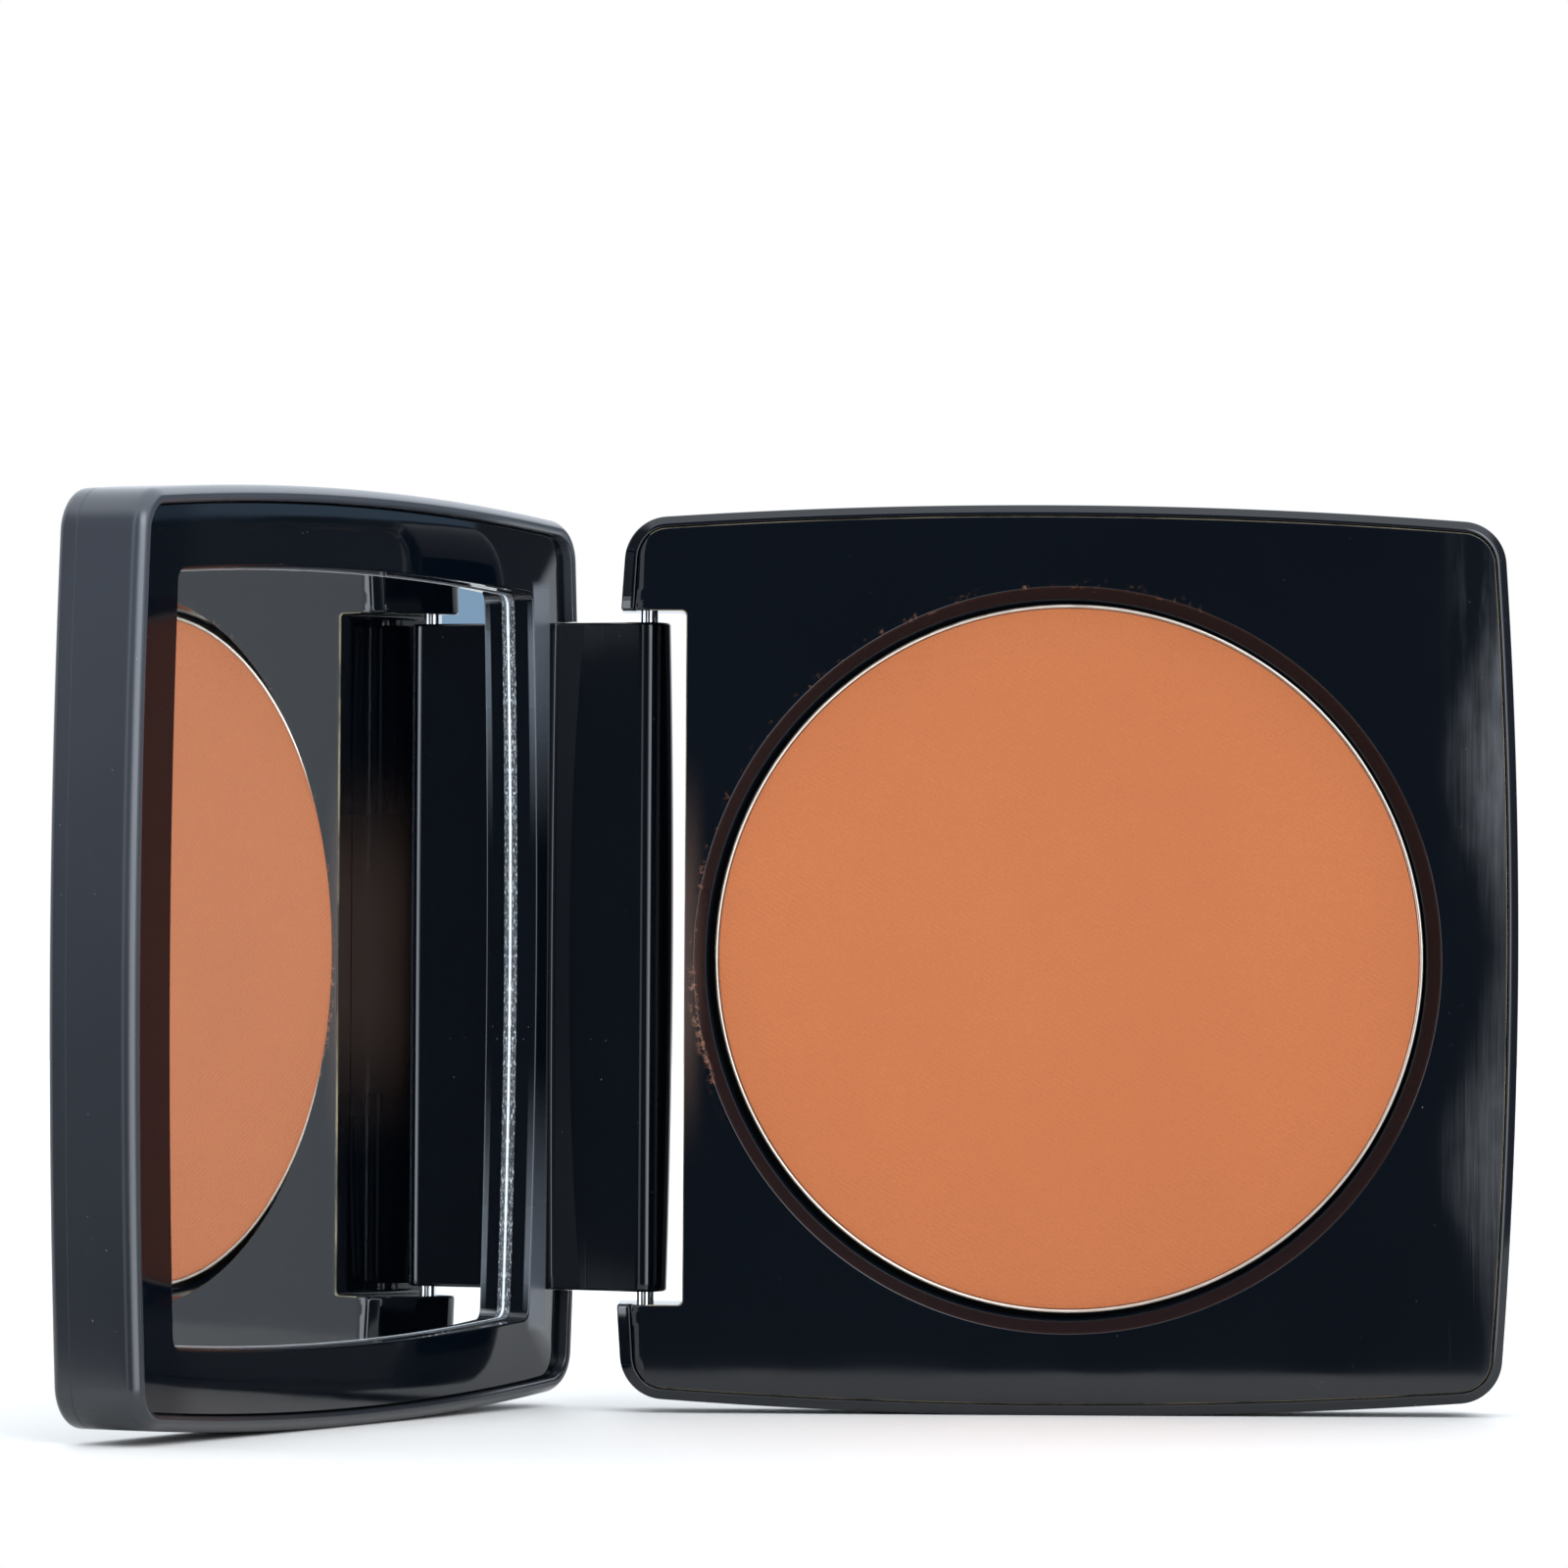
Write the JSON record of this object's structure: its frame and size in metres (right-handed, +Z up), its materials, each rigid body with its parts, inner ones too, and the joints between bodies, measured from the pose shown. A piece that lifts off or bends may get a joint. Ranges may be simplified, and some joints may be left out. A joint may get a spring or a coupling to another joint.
{
  "type": "powder compact",
  "caption": "Square powder compact with bowed sides, standing open: a mirrored lid turns on a pinned tongue and closes over a round pan of pressed powder.",
  "frame": {"origin": "on the floor, under the middle of the compact's box as it stands open", "axes": "+Z up along the hinge, +X from the hinge towards the base's free edge, +Y out of the base's underside"},
  "size_m": [0.1182, 0.0704, 0.0756],
  "materials": {
    "black_gloss": "polished black moulding",
    "black_satin": "black moulding, slightly satin on the walls",
    "pan_aluminium": "stamped, satin",
    "powder": "pressed powder, matte, fine woven press mark",
    "adhesive": "double-sided foam tape",
    "label": "blank satin film",
    "magnet": "nickel plated",
    "pin_steel": "ground, bright",
    "mirror": "silvered glass with a ground edge"
  },
  "bodies": {
    "base": {"base_shell": "black_gloss", "base_tray": "black_gloss", "powder_pan": "pan_aluminium", "pressed_powder": "powder", "pan_adhesive": "adhesive", "underside_label": "label", "base_magnet_upper": "magnet", "base_magnet_lower": "magnet", "hinge_pin_upper": "pin_steel", "hinge_pin_lower": "pin_steel"},
    "lid": {"lid_shell": "black_satin", "lid_cover": "black_satin", "mirror_frame": "black_gloss", "mirror_glass": "mirror", "mirror_adhesive": "adhesive", "lid_magnet_upper": "magnet", "lid_magnet_lower": "magnet"}
  },
  "joints": [
    {"name": "lid_hinge", "type": "hinge", "parent": "base", "child": "lid", "pos_m": [-0.01325, 0.02575, 0.03779], "axis": [0, 0, -1], "range_deg": [-116.5, 13.5]}
  ]
}
